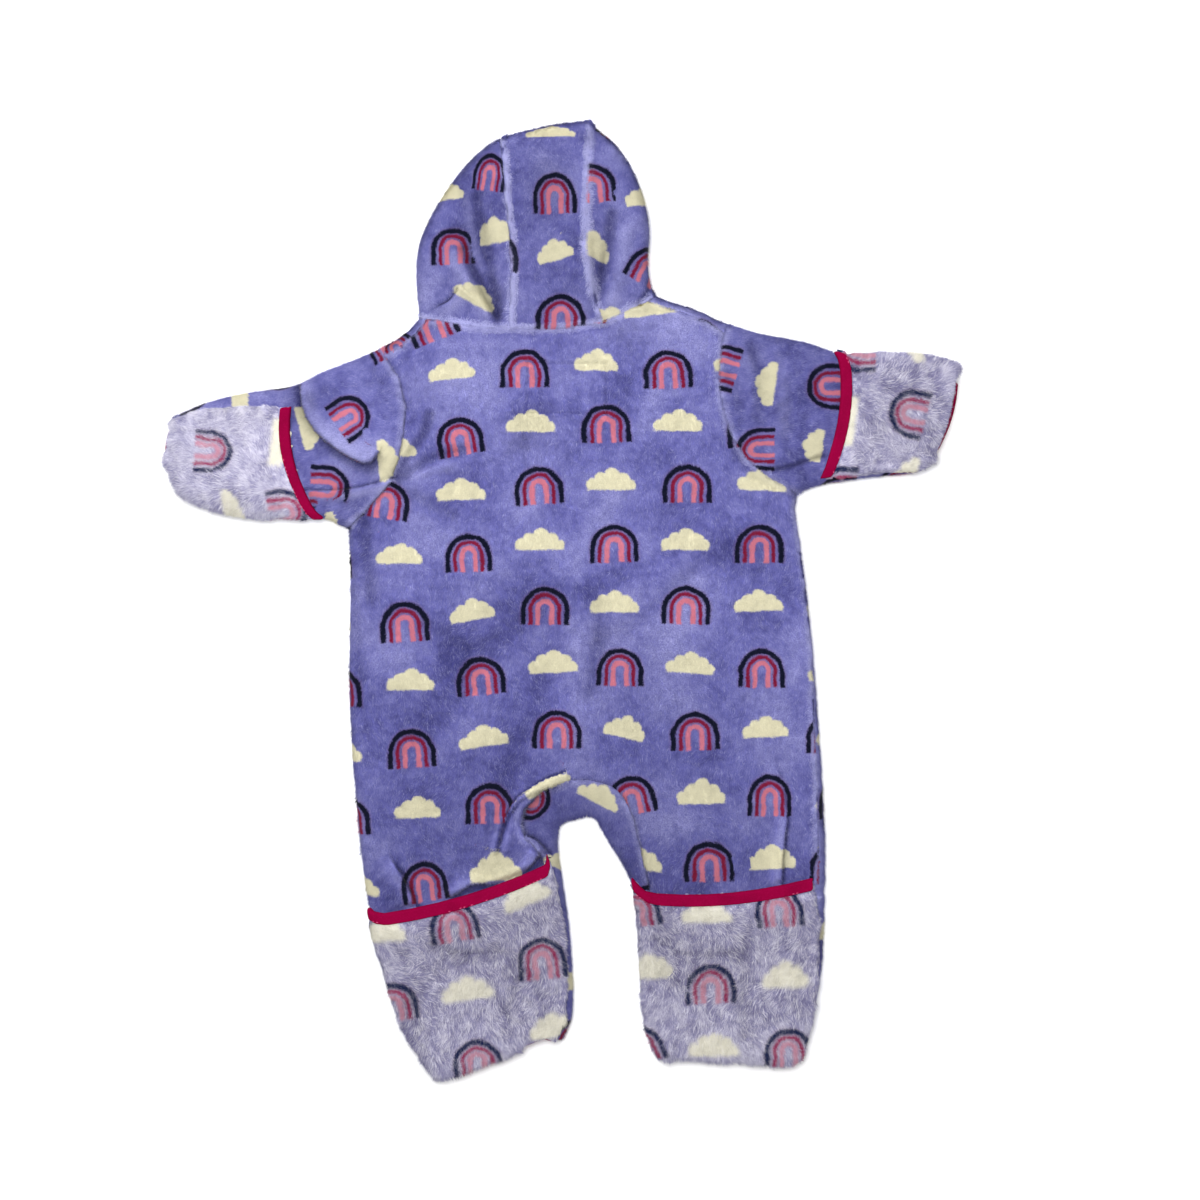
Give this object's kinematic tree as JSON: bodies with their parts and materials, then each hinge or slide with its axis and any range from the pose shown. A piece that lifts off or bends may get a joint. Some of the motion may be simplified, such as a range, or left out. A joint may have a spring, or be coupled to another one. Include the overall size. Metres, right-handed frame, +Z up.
{
  "type": "hooded fleece bunting suit for a baby",
  "caption": "Hooded one-piece baby suit in printed plush fleece, laid flat on its front, with fold-over mitten and bootie flaps.",
  "frame": {"origin": "middle of the suit's box in X and Y, on the surface it lies on", "axes": "+X to the right as seen from above, +Y from the legs towards the hood, +Z up through the back of the suit"},
  "size_m": [0.5564, 0.6697, 0.026],
  "materials": {
    "plush": "short plush fleece, periwinkle, printed with arches and clouds",
    "reverse": "long fluffy reverse of the fleece, pale lilac",
    "binding": "smooth knitted elastic binding, magenta",
    "zip": "woven zip tape with plastic teeth",
    "zip_slider": "matt moulded slider"
  },
  "bodies": {
    "root": {"back": "plush", "front_left": "plush", "front_right": "plush", "gusset": "plush", "sleeve_left": "plush", "sleeve_right": "plush", "hood_side_left": "plush", "hood_side_right": "plush", "hood_centre": "plush", "sleeve_flap_left": "reverse", "sleeve_flap_right": "reverse", "leg_flap_left": "reverse", "leg_flap_right": "reverse", "sleeve_binding_left": "binding", "sleeve_binding_right": "binding", "leg_binding_left": "binding", "leg_binding_right": "binding", "sleeve_hem_left": "binding", "sleeve_hem_right": "binding", "leg_hem_left": "binding", "leg_hem_right": "binding", "zip": "zip", "zip_slider": "zip_slider"}
  },
  "joints": []
}
